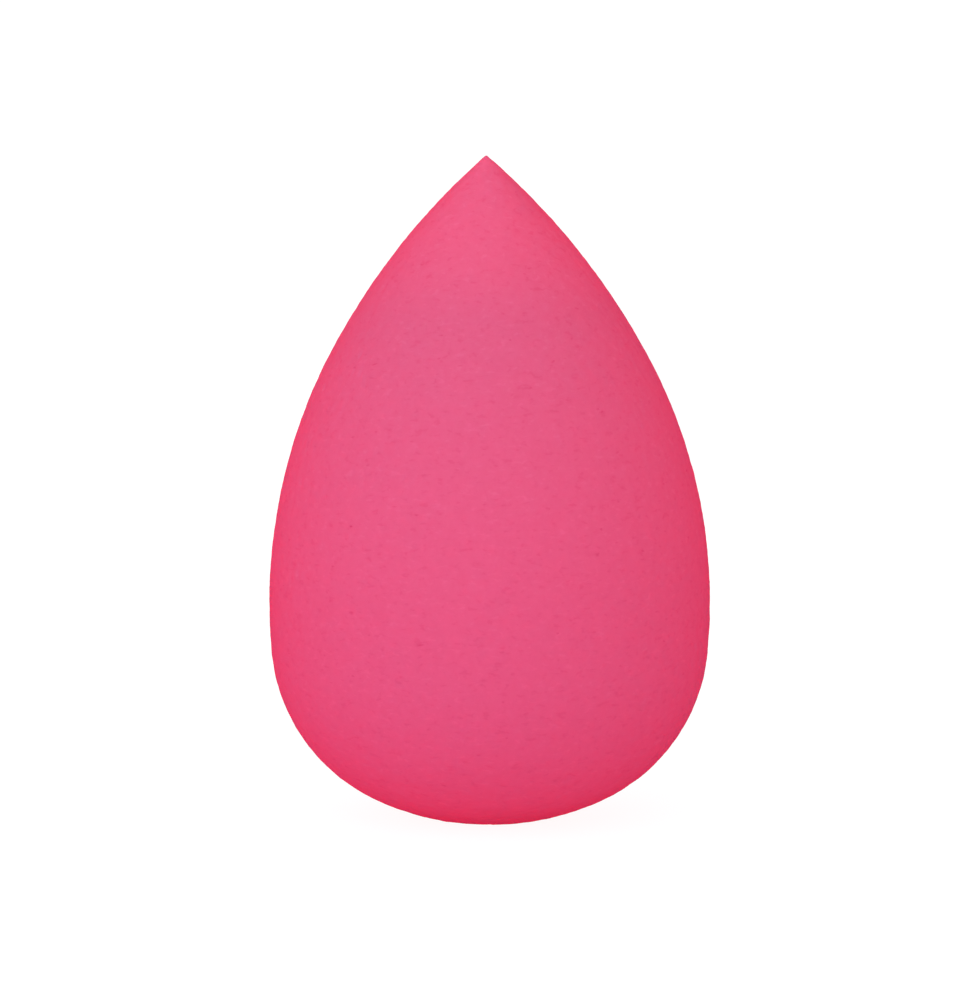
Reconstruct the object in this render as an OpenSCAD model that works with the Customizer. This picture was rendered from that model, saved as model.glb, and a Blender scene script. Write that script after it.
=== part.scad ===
// Makeup sponge: one moulded teardrop of soft foam.
// It stands on its round end, with the flat of its foot at z = 0 and its axis along Z.

/* [Foam body] */
// Greatest width of the foam body
body_w = 40; // [30:0.5:52]
// Height from the flat of the foot to the point
body_h = 60.7; // [48:0.1:74]
// Height of the widest place above the foot
belly_h = 19.8; // [16:0.1:24]
// Depth to which the soft base is pressed flat where it stands
foot_press = 0.5; // [0.2:0.1:1]
// Radius that rounds the point
tip_r = 0.3; // [0.2:0.1:2]

/* [Lean of the outline] */
// Degrees from upright where the round base runs into the heel
base_angle = 65; // [58:0.5:72]
// Degrees from upright where the heel runs into the belly, below the widest place
heel_angle = 5.7; // [2:0.1:10]
// Degrees from upright where the belly runs into the flank, above the widest place
shoulder_angle = 28.7; // [20:0.1:36]
// Degrees from upright where the flank runs into the point, half the angle of the point
tip_angle = 47.9; // [42:0.1:55]

/* [Hidden] */
$fn = 120;
// Longest straight step along the outline
outline_step = 1;
// Fewest steps in one of its arcs
least_steps = 4;

// The side of the drop is a chain of five arcs: base, heel, belly, flank and tip.
// Where two of them meet they lean alike, so the foam has no edge but the rim of its foot.

// Way out from the centre of an arc, at an angle above the level
function way(a) = [cos(a), sin(a)];

// Radii of two arcs that run one after the other along a stretch of the outline,
// while the way out of it turns from angle a over angle b to angle c
function two_radii(stretch, a, b, c) =
    let (first = way(b) - way(a), second = way(c) - way(b))
    [cross(stretch, second), cross(first, stretch)] / cross(first, second);

// Points along an arc from angle a to angle b, without the last, which starts the next arc
function arc(c, r, a, b) =
    let (steps = max(least_steps, ceil(r * (b - a) * PI / 180 / outline_step)))
    [for (i = [0:steps - 1]) c + r * way(a + (b - a) * i / steps)];

// Upper side, from the widest place to the point
belly_p = [body_w / 2, belly_h];
tip_c = [0, body_h - tip_r];
flank_p = tip_c + tip_r * way(tip_angle);
upper_radii = two_radii(flank_p - belly_p, 0, shoulder_angle, tip_angle);
belly_r = upper_radii[0];
flank_r = upper_radii[1];
belly_c = belly_p - [belly_r, 0];
flank_c = belly_c + (belly_r - flank_r) * way(shoulder_angle);

// Lower side, from the lowest place of the base before it is pressed flat up to the belly
base_p = [0, -foot_press];
heel_p = belly_c + belly_r * way(-heel_angle);
lower_radii = two_radii(heel_p - base_p, -90, -base_angle, -heel_angle);
base_r = lower_radii[0];
heel_r = lower_radii[1];
base_c = base_p + [0, base_r];
heel_c = base_c + (base_r - heel_r) * way(-base_angle);

// Angle on the base arc at which the flat of the foot ends
foot_angle = 90 - acos((base_r - foot_press) / base_r);

// Half of the drop's outline: up the side from the foot, and back down the axis
half_outline = [
    [0, 0],
    each arc(base_c, base_r, -foot_angle, -base_angle),
    each arc(heel_c, heel_r, -base_angle, -heel_angle),
    each arc(belly_c, belly_r, -heel_angle, shoulder_angle),
    each arc(flank_c, flank_r, shoulder_angle, tip_angle),
    each arc(tip_c, tip_r, tip_angle, 90),
    [0, body_h],
];

// Soft foam drop, turned about its axis
module foam_body() {
    color("#e95e88")
        rotate_extrude()
            polygon(half_outline);
}

foam_body();
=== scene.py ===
import math
import random

import bmesh
import bpy
import numpy as np
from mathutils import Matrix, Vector, noise


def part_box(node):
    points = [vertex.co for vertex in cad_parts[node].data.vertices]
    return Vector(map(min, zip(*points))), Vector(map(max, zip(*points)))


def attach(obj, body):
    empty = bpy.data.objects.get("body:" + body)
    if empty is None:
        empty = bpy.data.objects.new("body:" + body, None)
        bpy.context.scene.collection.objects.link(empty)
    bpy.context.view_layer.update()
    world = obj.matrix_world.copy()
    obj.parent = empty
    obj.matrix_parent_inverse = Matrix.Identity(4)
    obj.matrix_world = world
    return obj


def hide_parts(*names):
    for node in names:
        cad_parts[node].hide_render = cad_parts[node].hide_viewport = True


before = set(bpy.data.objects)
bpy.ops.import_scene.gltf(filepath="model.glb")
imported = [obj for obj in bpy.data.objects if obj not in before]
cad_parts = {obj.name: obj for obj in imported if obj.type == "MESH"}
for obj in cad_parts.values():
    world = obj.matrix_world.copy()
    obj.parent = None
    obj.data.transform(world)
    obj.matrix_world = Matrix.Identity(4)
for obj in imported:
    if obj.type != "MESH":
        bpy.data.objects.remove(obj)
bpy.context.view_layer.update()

bl_info = {
    "name": "Makeup Sponge",
    "version": (1, 0, 0),
    "blender": (4, 5, 0),
    "location": "3D View > Sidebar > Sponge",
    "description": "Models a teardrop makeup sponge of soft foam and a plain studio to show it in",
    "category": "Add Mesh",
}

# The whole CAD part, and the solid that the soft foam stands for
SOLID_LOW, SOLID_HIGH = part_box("foam_body")

# A millimetre in metres
MM = 0.001

# How far the nap makes the drop wider than its solid, and how far the point stays below the solid's
NAP_WIDTH = 0.14 * MM
TIP_DROP = 0.075 * MM
# In softnesses, the height above the floor from which the press no longer shows
PRESS_REACH = 50
# Roughness, scale step and number of the layers of noise in the skin's unevenness
UNEVEN_LAYERS = (0.7, 2.0, 3)

# Size of the crooks in the dashes and pores, and how wide they bend one
CROOK_SIZE = 0.9 * MM
CROOK_WIDTH = 0.9 * MM
# Noise values between which a dark dash of painted shade and a pale dash of painted highlight come up
DARK_DASH_RANGE = (0.56, 0.76)
PALE_DASH_RANGE = (0.44, 0.24)
# Spread of red, green and blue light in the foam, as shares of the glow scale
GLOW_SHARES = (1.0, 0.0197, 0.0395)
# Colour that the nap throws back at the edges
NAP_TINT = (1.0, 0.0, 0.052, 1.0)

# Half the side of the floor in metres, and the gap that keeps it clear of the foot
FLOOR_REACH = 4.0
FLOOR_GAP = 0.01 * MM
# Paint and own light of the floor as the camera sees it, which together give white beside the shadow
SEEN_PAINT = 0.15
SEEN_GLOW = 0.93
# Nearest and farthest distance in metres that the camera shows
CAMERA_RANGE = (0.01, 20.0)


# Sizes and colours that a user would change

class FoamBodySettings(bpy.types.PropertyGroup):
    """Shape of the foam body"""

    width: bpy.props.FloatProperty(
        name="Width",
        description="Greatest width of the drop, with the nap that stands out from the solid",
        default=SOLID_HIGH.x - SOLID_LOW.x + NAP_WIDTH, min=0.02, max=0.08, unit="LENGTH")
    height: bpy.props.FloatProperty(
        name="Height", description="From the flat of the foot to the point, a hair below the solid's",
        default=SOLID_HIGH.z - SOLID_LOW.z - TIP_DROP, min=0.03, max=0.12, unit="LENGTH")
    belly_height: bpy.props.FloatProperty(
        name="Belly height", description="Height of the widest place above the foot",
        default=19.66 * MM, min=0.01, max=0.04, unit="LENGTH")
    foot_press: bpy.props.FloatProperty(
        name="Foot press", description="Depth to which the soft base is pressed flat",
        default=0.5 * MM, min=0.0, max=0.002, unit="LENGTH")
    foot_softness: bpy.props.FloatProperty(
        name="Foot softness", description="How gently the base turns into the flat of the foot",
        default=0.03 * MM, min=0.001 * MM, max=1 * MM, unit="LENGTH")
    tip_radius: bpy.props.FloatProperty(
        name="Tip radius", description="Radius that rounds the point",
        default=0.10 * MM, min=0.05 * MM, max=2 * MM, unit="LENGTH")
    base_angle: bpy.props.FloatProperty(
        name="Base lean", description="Lean from upright where the round base runs into the heel",
        default=math.radians(64.3), subtype="ANGLE", unit="ROTATION")
    heel_angle: bpy.props.FloatProperty(
        name="Heel lean", description="Lean from upright where the heel runs into the belly",
        default=math.radians(5.4), subtype="ANGLE", unit="ROTATION")
    shoulder_angle: bpy.props.FloatProperty(
        name="Shoulder lean", description="Lean from upright where the belly runs into the flank",
        default=math.radians(28.3), subtype="ANGLE", unit="ROTATION")
    tip_angle: bpy.props.FloatProperty(
        name="Tip lean", description="Half the angle of the point",
        default=math.radians(48.7), subtype="ANGLE", unit="ROTATION")
    tip_drift: bpy.props.FloatProperty(
        name="Tip drift", description="How far the point sits to the left of the foot's middle",
        default=0.31 * MM, min=-2 * MM, max=2 * MM, unit="LENGTH")
    drift_start: bpy.props.FloatProperty(
        name="Drift start", description="Height at which the axis starts to bend over",
        default=28 * MM, min=0.0, max=0.06, unit="LENGTH")
    drift_curve: bpy.props.FloatProperty(
        name="Drift curve",
        description="1 leans the upper part over straight, and more bends it at the tip",
        default=1.2, min=1.0, max=4.0)
    tip_detail: bpy.props.FloatProperty(
        name="Tip detail", description="How much closer together the points of the mesh sit at the tip",
        default=0.75, min=0.0, max=0.9, subtype="FACTOR")
    tip_detail_reach: bpy.props.FloatProperty(
        name="Tip detail reach", description="Share of the side over which the points spread out again",
        default=0.05, min=0.01, max=0.3, subtype="FACTOR")
    halvings: bpy.props.IntProperty(
        name="Halvings", description="How many times the sides of the starting cube are halved",
        default=7, min=3, max=7)
    unevenness: bpy.props.FloatProperty(
        name="Unevenness", description="Depth of the fine unevenness of the foam's skin",
        default=0.035 * MM, min=0.0, max=0.2 * MM, unit="LENGTH")
    unevenness_size: bpy.props.FloatProperty(
        name="Unevenness size", description="Distance between one unevenness and the next",
        default=0.9 * MM, min=0.2 * MM, max=10 * MM, unit="LENGTH")
    pit_count: bpy.props.IntProperty(
        name="Pits", description="Number of small pits in the skin",
        default=5200, min=0, max=20000)
    pit_depth: bpy.props.FloatProperty(
        name="Pit depth", description="Average depth of a pit",
        default=0.02 * MM, min=0.0, max=0.2 * MM, unit="LENGTH")
    pit_depth_limit: bpy.props.FloatProperty(
        name="Deepest pit", description="Depth that no pit passes",
        default=0.14 * MM, min=0.0, max=0.5 * MM, unit="LENGTH")
    pit_spread_share: bpy.props.FloatProperty(
        name="Pit spread", description="Share of a pit's depth that the skin round it follows",
        default=0.4, min=0.0, max=1.0, subtype="FACTOR")
    seed: bpy.props.IntProperty(
        name="Seed", description="Start value of the random places", default=7, min=0)


class FoamFinishSettings(bpy.types.PropertyGroup):
    """Colour and surface of the foam"""

    # The tip and foot colours end a slope by height; its deepening towards the foot is painted shade for
    # the weaker light low on the sponge
    tip_colour: bpy.props.FloatVectorProperty(
        name="Foam at the tip", description="Colour of the foam's skin at the tip",
        default=(0.815, 0.139, 0.272), size=3, min=0.0, max=1.0, subtype="COLOR")
    shaded_foot_colour: bpy.props.FloatVectorProperty(
        name="Foam at the foot",
        description="Colour towards which the skin slowly deepens down to the foot",
        default=(0.889, 0.090, 0.222), size=3, min=0.0, max=1.0, subtype="COLOR")
    # Painted shade: the pore colour is the shade inside pits and dark dashes, and the random mottle also
    # tends towards it
    pit_shade_and_mottle_colour: bpy.props.FloatVectorProperty(
        name="Pores", description="Colour inside the open pores",
        default=(0.72, 0.038, 0.130), size=3, min=0.0, max=1.0, subtype="COLOR")
    mottle_size: bpy.props.FloatProperty(
        name="Mottle size", description="Size of the largest patches of the mottle",
        default=0.9 * MM, min=0.1 * MM, max=10 * MM, unit="LENGTH")
    mottle_strength: bpy.props.FloatProperty(
        name="Mottle strength", description="How far the mottle goes towards the pore colour",
        default=0.36, min=0.0, max=1.0, subtype="FACTOR")
    # Dark dashes are painted shade in small pits, and pale dashes painted highlights on their lips
    dash_size: bpy.props.FloatProperty(
        name="Dash size", description="Distance over which one short dash turns into the next",
        default=0.85 * MM, min=0.1 * MM, max=10 * MM, unit="LENGTH")
    dash_strength: bpy.props.FloatProperty(
        name="Dash strength", description="How far a dark dash goes towards the pore colour",
        default=0.20, min=0.0, max=1.0, subtype="FACTOR")
    pale_dash_share: bpy.props.FloatProperty(
        name="Pale dash share", description="Strength of the pale dashes against the dark ones",
        default=0.8, min=0.0, max=1.0, subtype="FACTOR")
    pore_spacing: bpy.props.FloatProperty(
        name="Pore spacing", description="Distance between one open pore and the next",
        default=2.0 * MM, min=0.1 * MM, max=20 * MM, unit="LENGTH")
    pore_width: bpy.props.FloatProperty(
        name="Pore width", description="Greatest width of an open pore",
        default=0.6 * MM, min=0.05 * MM, max=5 * MM, unit="LENGTH")
    # A pore's pull towards the pore colour is painted shade inside the pit
    pore_strength: bpy.props.FloatProperty(
        name="Pore strength", description="How far a pore goes towards its own colour",
        default=0.55, min=0.0, max=1.0, subtype="FACTOR")
    pore_stretch: bpy.props.FloatProperty(
        name="Pore stretch", description="How much wider than high dashes and pores are",
        default=2.0, min=1.0, max=5.0)
    grain_depth: bpy.props.FloatProperty(
        name="Grain depth", description="Depth of the grain that is too fine for the mesh",
        default=0.016 * MM, min=0.0, max=1 * MM, unit="LENGTH")
    roughness: bpy.props.FloatProperty(
        name="Roughness", description="Roughness of the skin between the pores",
        default=0.86, min=0.0, max=1.0, subtype="FACTOR")
    glow_scale: bpy.props.FloatProperty(
        name="Glow scale",
        description="Scale of the red light's spread in the foam, which fades over about a twelfth of it",
        default=152 * MM, min=0.0, max=0.5, unit="LENGTH")
    glow_fall: bpy.props.FloatProperty(
        name="Glow fall", description="Height from which the foam grows too thin for the whole glow",
        default=46.7 * MM, min=0.0, max=0.12, unit="LENGTH")
    glow_fall_curve: bpy.props.FloatProperty(
        name="Glow fall curve",
        description="1 lets the glow fall evenly to the tip, and more lets it fall faster at first",
        default=1.1, min=0.5, max=4.0)
    nap: bpy.props.FloatProperty(
        name="Nap", description="Strength of the fine velvety nap that shows towards the edges",
        default=0.60, min=0.0, max=1.0, subtype="FACTOR")
    nap_roughness: bpy.props.FloatProperty(
        name="Nap roughness", description="How softly the nap's sheen spreads",
        default=0.706, min=0.0, max=1.0, subtype="FACTOR")


class StudioSettings(bpy.types.PropertyGroup):
    """Floor, lights and camera"""

    camera_elevation: bpy.props.FloatProperty(
        name="Camera elevation", description="Angle by which the camera looks down",
        default=math.radians(8), subtype="ANGLE", unit="ROTATION")
    lens: bpy.props.FloatProperty(
        name="Lens", description="Focal length", default=300.0, min=20.0, max=400.0, unit="CAMERA")
    frame_height: bpy.props.FloatProperty(
        name="Frame height", description="Height of the picture at the sponge",
        default=89.26 * MM, min=0.02, max=1.0, unit="LENGTH")
    aim_side: bpy.props.FloatProperty(
        name="Aim side", description="How far to the right of the sponge's axis the camera aims",
        default=0.03 * MM, min=-0.02, max=0.02, unit="LENGTH")
    aim_height: bpy.props.FloatProperty(
        name="Aim height", description="Height above the floor at which the camera aims",
        default=30.0 * MM, min=0.0, max=0.1, unit="LENGTH")
    key_power: bpy.props.FloatProperty(
        name="Key light", description="Power of the large round lamp", default=3.4, min=0.0,
        unit="POWER")
    key_side: bpy.props.FloatProperty(
        name="Key side", description="Angle by which the lamp stands to the left of the camera",
        default=math.radians(24.4), subtype="ANGLE", unit="ROTATION")
    key_rise: bpy.props.FloatProperty(
        name="Key rise", description="Angle of the lamp above the floor",
        default=math.radians(22.2), subtype="ANGLE", unit="ROTATION")
    key_distance: bpy.props.FloatProperty(
        name="Key distance", description="From the lamp to the sponge",
        default=0.7, min=0.1, max=5.0, unit="LENGTH")
    key_width: bpy.props.FloatProperty(
        name="Key width", description="Diameter of the lamp", default=1.095, min=0.01, max=5.0,
        unit="LENGTH")
    sky_strength: bpy.props.FloatProperty(
        name="Sky light", description="Strength of the even light from all round", default=0.694, min=0.0)
    floor_glow: bpy.props.FloatProperty(
        name="Floor glow", description="Even light that the white table sends up to the sponge",
        default=0.293, min=0.0, max=1.0)
    floor_shade: bpy.props.FloatProperty(
        name="Floor shade",
        description="Share of the light on the table that it throws back to the sponge",
        default=0.584, min=0.0, max=1.0, subtype="FACTOR")


# Outline of the drop

def way(angle):
    """Way out from the centre of an arc, at an angle above the level"""
    return np.array((math.cos(angle), math.sin(angle)))


def two_radii(stretch, a, b, c):
    """Radii of two arcs that follow each other along a stretch, turning from a over b to c"""
    return np.linalg.solve(np.column_stack((way(b) - way(a), way(c) - way(b))), stretch)


def side_arcs(body):
    """The five tangent arcs of the unpressed side, as centre, radius, first and last angle"""
    belly_point = np.array((body.width / 2, body.belly_height))
    tip_centre = np.array((0, body.height - body.tip_radius))
    flank_point = tip_centre + body.tip_radius * way(body.tip_angle)
    belly_r, flank_r = two_radii(flank_point - belly_point, 0, body.shoulder_angle, body.tip_angle)
    belly_centre = belly_point - np.array((belly_r, 0))
    flank_centre = belly_centre + (belly_r - flank_r) * way(body.shoulder_angle)
    base_point = np.array((0, -body.foot_press))
    heel_point = belly_centre + belly_r * way(-body.heel_angle)
    base_r, heel_r = two_radii(
        heel_point - base_point, -math.pi / 2, -body.base_angle, -body.heel_angle)
    base_centre = base_point + np.array((0, base_r))
    heel_centre = base_centre + (base_r - heel_r) * way(-body.base_angle)
    return [
        (base_centre, base_r, -math.pi / 2, -body.base_angle),
        (heel_centre, heel_r, -body.base_angle, -body.heel_angle),
        (belly_centre, belly_r, -body.heel_angle, body.shoulder_angle),
        (flank_centre, flank_r, body.shoulder_angle, body.tip_angle),
        (tip_centre, body.tip_radius, body.tip_angle, math.pi / 2),
    ]


def along_side(arcs, share):
    """Distance from the axis, height and way out of the side, at a share of its length from below"""
    lengths = [r * (last - first) for _, r, first, last in arcs]
    left = share * sum(lengths)
    for (centre, r, first, last), length in zip(arcs, lengths):
        if left <= length:
            break
        left -= length
    angle = min(first + left / r, last)
    return centre + r * way(angle), way(angle)


# Foam body

def fine_cube(halvings):
    """A cube whose sides are halved again and again, with an even grid of faces"""
    bm = bmesh.new()
    bmesh.ops.create_cube(bm, size=2.0)
    for _ in range(halvings):
        bmesh.ops.subdivide_edges(bm, edges=bm.edges[:], cuts=1, use_grid_fill=True)
    return bm


def cube_to_drop(bm, body):
    """Moves the cube's points onto the drop, and returns the way out of the foam at each"""
    arcs = side_arcs(body)
    outward = []
    for vert in bm.verts:
        spread = Vector(math.tan(c * math.pi / 4) for c in vert.co).normalized()
        # Share of the side from the tip down to this point, with the points drawn closer to the tip
        from_tip = math.acos(max(-1.0, min(1.0, spread.z))) / math.pi
        from_tip *= 1 - body.tip_detail * math.exp(-from_tip / body.tip_detail_reach)
        (radius, height), (out, up) = along_side(arcs, 1 - from_tip)
        turn = math.atan2(spread.y, spread.x)
        vert.co = (radius * math.cos(turn), radius * math.sin(turn), height)
        outward.append(Vector((out * math.cos(turn), out * math.sin(turn), up)))
    return outward


def pit_depths(bm, body):
    """How deep each point of the skin sinks into a pit, with the pits at random places"""
    bm.verts.ensure_lookup_table()
    dice = random.Random(body.seed)
    depths = [0.0] * len(bm.verts)
    for index in dice.sample(range(len(bm.verts)), body.pit_count):
        depth = min(dice.expovariate(1 / body.pit_depth), body.pit_depth_limit)
        depths[index] += depth
        for edge in bm.verts[index].link_edges:
            depths[edge.other_vert(bm.verts[index]).index] += depth * body.pit_spread_share
    return depths


def roughen(bm, outward, body):
    """Gives the skin its fine unevenness and its pits"""
    for vert, out, depth in zip(bm.verts, outward, pit_depths(bm, body)):
        swell = noise.fractal(vert.co / body.unevenness_size, *UNEVEN_LAYERS)
        vert.co += out * (body.unevenness * swell - min(depth, body.pit_depth_limit))


def pressed(height, softness):
    """Height above the floor of a point that the floor presses up, with a soft turn into the flat"""
    if height > PRESS_REACH * softness:
        return height
    return softness * math.log1p(math.exp(height / softness))


def settle(bm, body):
    """Presses the round base flat on the floor, and bends the axis slightly towards the tip"""
    for vert in bm.verts:
        vert.co.z = pressed(vert.co.z, body.foot_softness)
        rise = max(0.0, (vert.co.z - body.drift_start) / (body.height - body.drift_start))
        vert.co.x -= body.tip_drift * rise ** body.drift_curve


# Nodes of a material

def new_node(tree, kind, place, **values):
    """Adds a node at a place in the tree and sets its sockets by name"""
    made = tree.nodes.new(kind)
    made.location = place
    for name, value in values.items():
        made.inputs[name.replace("_", " ")].default_value = value
    return made


def calculate(tree, operation, place, *values):
    """Adds a node that works out one number from sockets or numbers, and returns its result"""
    made = new_node(tree, "ShaderNodeMath", place)
    made.operation = operation
    for slot, value in zip(made.inputs, values):
        if isinstance(value, bpy.types.NodeSocket):
            tree.links.new(value, slot)
        else:
            slot.default_value = value
    return made.outputs["Value"]


def blend(tree, place, share, first, second):
    """Adds a node that goes from one colour to another, each a socket or three numbers"""
    made = new_node(tree, "ShaderNodeMix", place)
    made.data_type = "RGBA"
    tree.links.new(share, made.inputs["Factor"])
    for name, value in (("A", first), ("B", second)):
        if isinstance(value, bpy.types.NodeSocket):
            tree.links.new(value, made.inputs[name])
        else:
            made.inputs[name].default_value = (*value, 1)
    return made.outputs["Result"]


# Foam finish

def pulled_wide(tree, place, stretch):
    """Object coordinates in which a round spot comes out wider than high and a little crooked"""
    x, y = place
    coordinates = new_node(tree, "ShaderNodeTexCoord", (x, y))
    mapping = new_node(tree, "ShaderNodeMapping", (x + 200, y), Scale=(1, 1, stretch))
    crook = new_node(tree, "ShaderNodeTexNoise", (x + 400, y - 200), Scale=1 / CROOK_SIZE, Detail=1.0)
    middle = new_node(tree, "ShaderNodeVectorMath", (x + 600, y - 200))
    middle.operation = "MULTIPLY_ADD"
    middle.inputs[1].default_value = (CROOK_WIDTH,) * 3
    middle.inputs[2].default_value = (-CROOK_WIDTH / 2,) * 3
    bent = new_node(tree, "ShaderNodeVectorMath", (x + 800, y))
    tree.links.new(coordinates.outputs["Object"], mapping.inputs["Vector"])
    tree.links.new(mapping.outputs["Vector"], crook.inputs["Vector"])
    tree.links.new(crook.outputs["Color"], middle.inputs[0])
    tree.links.new(mapping.outputs["Vector"], bent.inputs[0])
    tree.links.new(middle.outputs["Vector"], bent.inputs[1])
    return bent.outputs["Vector"]


def specks(tree, place, where, spacing, width):
    """Spots of many strengths at random places: up to 1 in the middle of a spot, 0 between them"""
    x, y = place
    cells = new_node(tree, "ShaderNodeTexVoronoi", (x, y), Scale=1 / spacing)
    near = new_node(
        tree, "ShaderNodeMapRange", (x + 200, y), From_Max=width / 2 / spacing, To_Min=1.0, To_Max=0.0)
    near.interpolation_type = "SMOOTHSTEP"
    chance = new_node(tree, "ShaderNodeSeparateColor", (x + 200, y - 250))
    tree.links.new(where, cells.inputs["Vector"])
    tree.links.new(cells.outputs["Distance"], near.inputs["Value"])
    tree.links.new(cells.outputs["Color"], chance.inputs["Color"])
    return calculate(tree, "MULTIPLY", (x + 400, y), near.outputs["Result"], chance.outputs["Red"])


def dashes(tree, place, where, size, pale_share):
    """Short crooked marks for painted shade in small pits and painted highlights on their lips: up to 1
    in the dark ones and down to minus the share in the pale ones
    """
    x, y = place
    swirl = new_node(tree, "ShaderNodeTexNoise", (x, y), Scale=1 / size, Detail=1.5, Roughness=0.6)
    dark = new_node(
        tree, "ShaderNodeMapRange", (x + 200, y + 150),
        From_Min=DARK_DASH_RANGE[0], From_Max=DARK_DASH_RANGE[1])
    pale = new_node(
        tree, "ShaderNodeMapRange", (x + 200, y - 150),
        From_Min=PALE_DASH_RANGE[0], From_Max=PALE_DASH_RANGE[1], To_Max=-pale_share)
    tree.links.new(where, swirl.inputs["Vector"])
    for half in (dark, pale):
        half.interpolation_type = "SMOOTHSTEP"
        tree.links.new(swirl.outputs["Fac"], half.inputs["Value"])
    return calculate(tree, "ADD", (x + 400, y), dark.outputs["Result"], pale.outputs["Result"])


def mottle(tree, place, size):
    """Soft patches of several sizes, about 0.5 on average"""
    x, y = place
    coordinates = new_node(tree, "ShaderNodeTexCoord", (x, y))
    patches = new_node(
        tree, "ShaderNodeTexNoise", (x + 200, y), Scale=1 / size, Detail=4.0, Roughness=0.75)
    tree.links.new(coordinates.outputs["Object"], patches.inputs["Vector"])
    return patches.outputs["Fac"]


def share_of_height(tree, place, start, end):
    """How far a point lies on the way from one height to another, from 0 to 1"""
    x, y = place
    coordinates = new_node(tree, "ShaderNodeTexCoord", (x, y))
    height = new_node(tree, "ShaderNodeSeparateXYZ", (x + 200, y))
    share = new_node(tree, "ShaderNodeMapRange", (x + 400, y), From_Min=start, From_Max=end)
    tree.links.new(coordinates.outputs["Object"], height.inputs["Vector"])
    tree.links.new(height.outputs["Z"], share.inputs["Value"])
    return share.outputs["Result"]


def glow_by_height(tree, place, finish, tip):
    """Scale of the glow, which is the same up to the narrow part and falls off towards the tip"""
    x, y = place
    room = share_of_height(tree, place, tip, finish.glow_fall)
    share = calculate(tree, "POWER", (x + 600, y), room, finish.glow_fall_curve)
    return calculate(tree, "MULTIPLY", (x + 800, y), share, finish.glow_scale)


def foam_material(finish, height):
    """Soft matt foam that glows red inside, with a fine mottle, short dashes and open pores of painted
    pit shade and highlight, painted shade deepening towards the foot, and a nap
    """
    material = bpy.data.materials.new("soft_pink_foam")
    material.use_nodes = True
    tree = material.node_tree
    tree.nodes.clear()
    output = new_node(tree, "ShaderNodeOutputMaterial", (1600, 0))
    shader = new_node(tree, "ShaderNodeBsdfPrincipled", (1300, 0))
    tree.links.new(shader.outputs["BSDF"], output.inputs["Surface"])

    where = pulled_wide(tree, (-1600, -200), finish.pore_stretch)
    # Dashes and pores paint shade in the pits and highlights on their lips; the mottle is random tone
    marks = dashes(tree, (-500, 0), where, finish.dash_size, finish.pale_dash_share)
    pores = specks(tree, (-500, -500), where, finish.pore_spacing, finish.pore_width)
    patches = mottle(tree, (-500, 400), finish.mottle_size)

    soft_share = calculate(tree, "MULTIPLY", (100, 400), patches, finish.mottle_strength)
    dash_share = calculate(tree, "MULTIPLY", (100, 0), marks, finish.dash_strength)
    pore_share = calculate(tree, "MULTIPLY", (100, -500), pores, finish.pore_strength)
    mark_share = calculate(tree, "ADD", (300, -200), dash_share, pore_share)
    darker = calculate(tree, "ADD", (300, 200), soft_share, mark_share)
    # Painted shade: the skin colour slopes from the tip colour down to the deeper foot colour
    rise = share_of_height(tree, (-100, 700), 0.0, height)
    skin_with_painted_shade = blend(tree, (600, 500), rise, finish.shaded_foot_colour, finish.tip_colour)
    colour = blend(tree, (900, 200), darker, skin_with_painted_shade, finish.pit_shade_and_mottle_colour)
    tree.links.new(colour, shader.inputs["Base Color"])

    sunk = calculate(tree, "ADD", (300, -500), marks, pores)
    relief = calculate(tree, "SUBTRACT", (500, -400), patches, sunk)
    grain = new_node(tree, "ShaderNodeBump", (900, -400), Strength=1.0, Distance=finish.grain_depth)
    tree.links.new(relief, grain.inputs["Height"])
    tree.links.new(grain.outputs["Normal"], shader.inputs["Normal"])

    rough = calculate(tree, "MULTIPLY_ADD", (900, -100), darker, 1 - finish.roughness, finish.roughness)
    tree.links.new(rough, shader.inputs["Roughness"])

    shader.subsurface_method = "BURLEY"
    shader.inputs["Subsurface Weight"].default_value = 1.0
    glow = glow_by_height(tree, (-100, -900), finish, height)
    tree.links.new(glow, shader.inputs["Subsurface Scale"])
    shader.inputs["Subsurface Radius"].default_value = GLOW_SHARES
    shader.inputs["Specular IOR Level"].default_value = 0.0
    shader.inputs["Sheen Weight"].default_value = finish.nap
    shader.inputs["Sheen Roughness"].default_value = finish.nap_roughness
    shader.inputs["Sheen Tint"].default_value = NAP_TINT
    return material


# Foam body with its finish

class SPONGE_OT_foam_body(bpy.types.Operator):
    """Model the soft foam body in place of its solid"""

    bl_idname = "sponge.foam_body"
    bl_label = "Foam Body"

    def execute(self, context):
        body = context.scene.sponge_body
        bm = fine_cube(body.halvings)
        outward = cube_to_drop(bm, body)
        roughen(bm, outward, body)
        settle(bm, body)
        mesh = bpy.data.meshes.new("sponge_foam")
        bm.to_mesh(mesh)
        bm.free()
        mesh.shade_smooth()
        foam = bpy.data.objects.new("sponge_foam", mesh)
        context.collection.objects.link(foam)
        foam.data.materials.append(foam_material(context.scene.sponge_finish, body.height))
        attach(foam, "root")
        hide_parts("foam_body")
        return {"FINISHED"}


# Studio

def seen_directly(tree, place):
    """One where a camera, glossy or transmission ray arrives, and zero for the light on the object"""
    x, y = place
    path = new_node(tree, "ShaderNodeLightPath", place)
    first = calculate(
        tree, "MAXIMUM", (x + 200, y), path.outputs["Is Camera Ray"], path.outputs["Is Glossy Ray"])
    return calculate(tree, "MAXIMUM", (x + 400, y), first, path.outputs["Is Transmission Ray"])


def pick(tree, place, choice, lighting, seen, surface):
    """Gives one shader to the rays that light the sponge, and another to those that see the surface"""
    made = new_node(tree, "ShaderNodeMixShader", place)
    tree.links.new(choice, made.inputs[0])
    tree.links.new(lighting.outputs[0], made.inputs[1])
    tree.links.new(seen.outputs[0], made.inputs[2])
    tree.links.new(made.outputs[0], surface)


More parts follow.
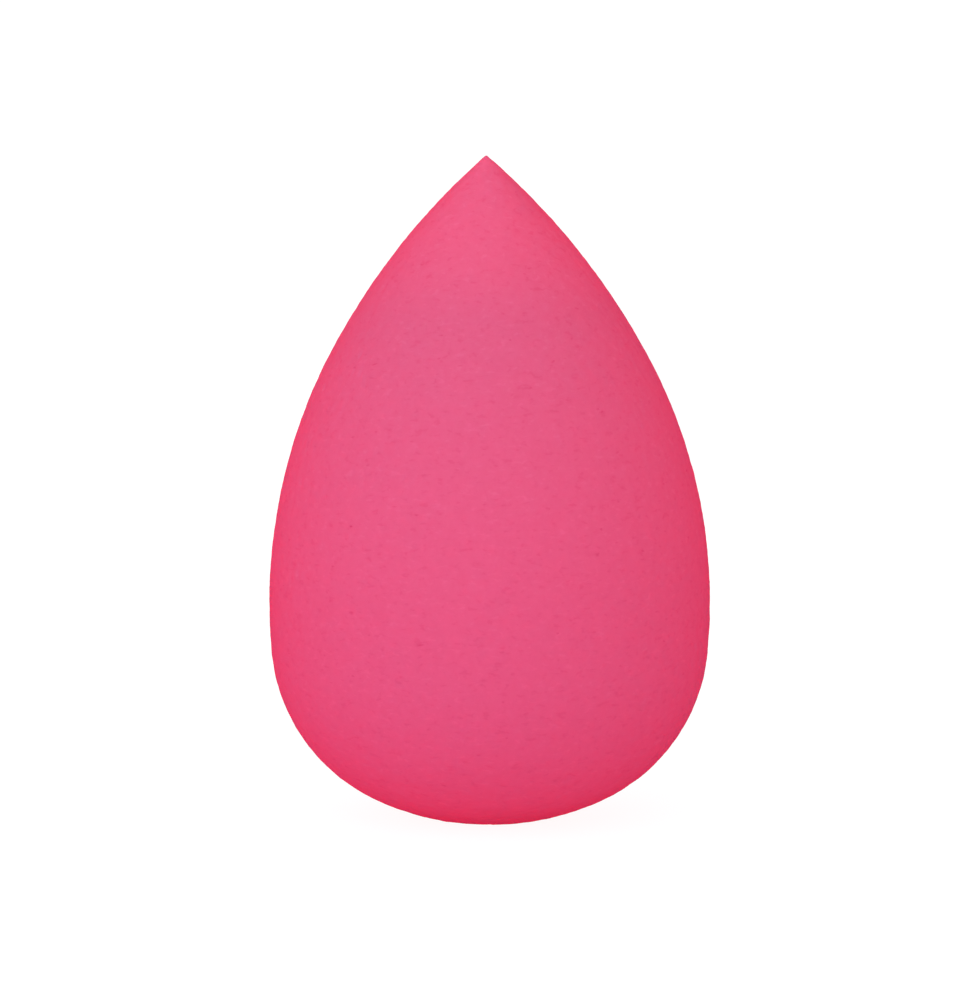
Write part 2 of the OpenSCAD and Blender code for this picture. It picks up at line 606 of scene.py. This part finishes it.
def glowing_paint(tree, place, paint, glow):
    """Adds a grey matt surface that also gives off an even white light of its own"""
    x, y = place
    matt = new_node(tree, "ShaderNodeBsdfDiffuse", (x, y), Color=(paint, paint, paint, 1))
    light = new_node(tree, "ShaderNodeEmission", (x, y - 150), Color=(1, 1, 1, 1), Strength=glow)
    both = new_node(tree, "ShaderNodeAddShader", (x + 200, y - 50))
    tree.links.new(matt.outputs[0], both.inputs[0])
    tree.links.new(light.outputs[0], both.inputs[1])
    return both


def floor_material(glow, shade):
    """White table that lights the sponge from below, and shows white with the sponge's faint shadow"""
    material = bpy.data.materials.new("pale_floor")
    material.use_nodes = True
    tree = material.node_tree
    tree.nodes.clear()
    output = new_node(tree, "ShaderNodeOutputMaterial", (800, 0))
    table = glowing_paint(tree, (0, 0), shade, glow)
    shown = glowing_paint(tree, (0, -350), SEEN_PAINT, SEEN_GLOW)
    pick(tree, (600, 0), seen_directly(tree, (0, 300)), table, shown, output.inputs["Surface"])
    return material


def make_world(strength):
    """Even light from all round, in front of a white background"""
    world = bpy.data.worlds.new("studio_sky")
    world.use_nodes = True
    tree = world.node_tree
    tree.nodes.clear()
    output = new_node(tree, "ShaderNodeOutputWorld", (800, 0))
    light = new_node(tree, "ShaderNodeBackground", (0, 0), Color=(1, 1, 1, 1), Strength=strength)
    white = new_node(tree, "ShaderNodeBackground", (0, -200), Color=(1, 1, 1, 1), Strength=1.0)
    pick(tree, (600, 0), seen_directly(tree, (0, 300)), light, white, output.inputs["Surface"])
    return world


def way_to(side, rise):
    """Way from the sponge to something in front of it, by its angles to the right and above the floor"""
    return Vector((math.sin(side) * math.cos(rise), -math.cos(side) * math.cos(rise), math.sin(rise)))


def aim(item, place, target):
    """Puts a lamp or camera at a place and turns it to a target"""
    item.location = place
    item.rotation_euler = (target - place).to_track_quat("-Z", "Y").to_euler()


class SPONGE_OT_studio(bpy.types.Operator):
    """Set up the plain floor, the soft lights and the camera"""

    bl_idname = "sponge.studio"
    bl_label = "Studio"

    def execute(self, context):
        scene = context.scene
        studio = scene.sponge_studio
        bm = bmesh.new()
        bmesh.ops.create_grid(bm, x_segments=1, y_segments=1, size=FLOOR_REACH)
        bmesh.ops.translate(bm, verts=bm.verts, vec=(0, 0, -FLOOR_GAP))
        mesh = bpy.data.meshes.new("floor")
        bm.to_mesh(mesh)
        bm.free()
        floor = bpy.data.objects.new("floor", mesh)
        mesh.materials.append(floor_material(studio.floor_glow, studio.floor_shade))
        context.collection.objects.link(floor)

        scene.world = make_world(studio.sky_strength)
        target = Vector((studio.aim_side, 0, studio.aim_height))
        lamp = bpy.data.lights.new("key", "AREA")
        lamp.shape = "DISK"
        lamp.size = studio.key_width
        lamp.energy = studio.key_power
        key = bpy.data.objects.new("key", lamp)
        key.visible_camera = False
        context.collection.objects.link(key)
        aim(key, target + studio.key_distance * way_to(-studio.key_side, studio.key_rise), target)

        camera = bpy.data.objects.new("camera", bpy.data.cameras.new("camera"))
        camera.data.lens = studio.lens
        camera.data.clip_start, camera.data.clip_end = CAMERA_RANGE
        distance = studio.lens / camera.data.sensor_width * studio.frame_height
        aim(camera, target + distance * way_to(0, studio.camera_elevation), target)
        context.collection.objects.link(camera)
        scene.camera = camera
        scene.view_settings.view_transform = "Standard"
        return {"FINISHED"}


# Panel and registration

class SPONGE_PT_panel(bpy.types.Panel):
    """Panel in the sidebar of the 3D view"""

    bl_label = "Makeup Sponge"
    bl_idname = "SPONGE_PT_panel"
    bl_space_type = "VIEW_3D"
    bl_region_type = "UI"
    bl_category = "Sponge"

    def draw(self, context):
        for group, operator in (
            (context.scene.sponge_body, SPONGE_OT_foam_body),
            (context.scene.sponge_finish, None),
            (context.scene.sponge_studio, SPONGE_OT_studio),
        ):
            box = self.layout.box()
            for name in group.bl_rna.properties.keys():
                if name not in ("name", "rna_type"):
                    box.prop(group, name)
            if operator:
                box.operator(operator.bl_idname)


CLASSES = (
    FoamBodySettings,
    FoamFinishSettings,
    StudioSettings,
    SPONGE_OT_foam_body,
    SPONGE_OT_studio,
    SPONGE_PT_panel,
)


def register():
    for cls in CLASSES:
        bpy.utils.register_class(cls)
    bpy.types.Scene.sponge_body = bpy.props.PointerProperty(type=FoamBodySettings)
    bpy.types.Scene.sponge_finish = bpy.props.PointerProperty(type=FoamFinishSettings)
    bpy.types.Scene.sponge_studio = bpy.props.PointerProperty(type=StudioSettings)


def unregister():
    del bpy.types.Scene.sponge_studio
    del bpy.types.Scene.sponge_finish
    del bpy.types.Scene.sponge_body
    for cls in reversed(CLASSES):
        bpy.utils.unregister_class(cls)


def main():
    """Build the sponge and its studio"""
    register()
    bpy.ops.sponge.foam_body()
    bpy.ops.sponge.studio()


if __name__ == "__main__":
    main()
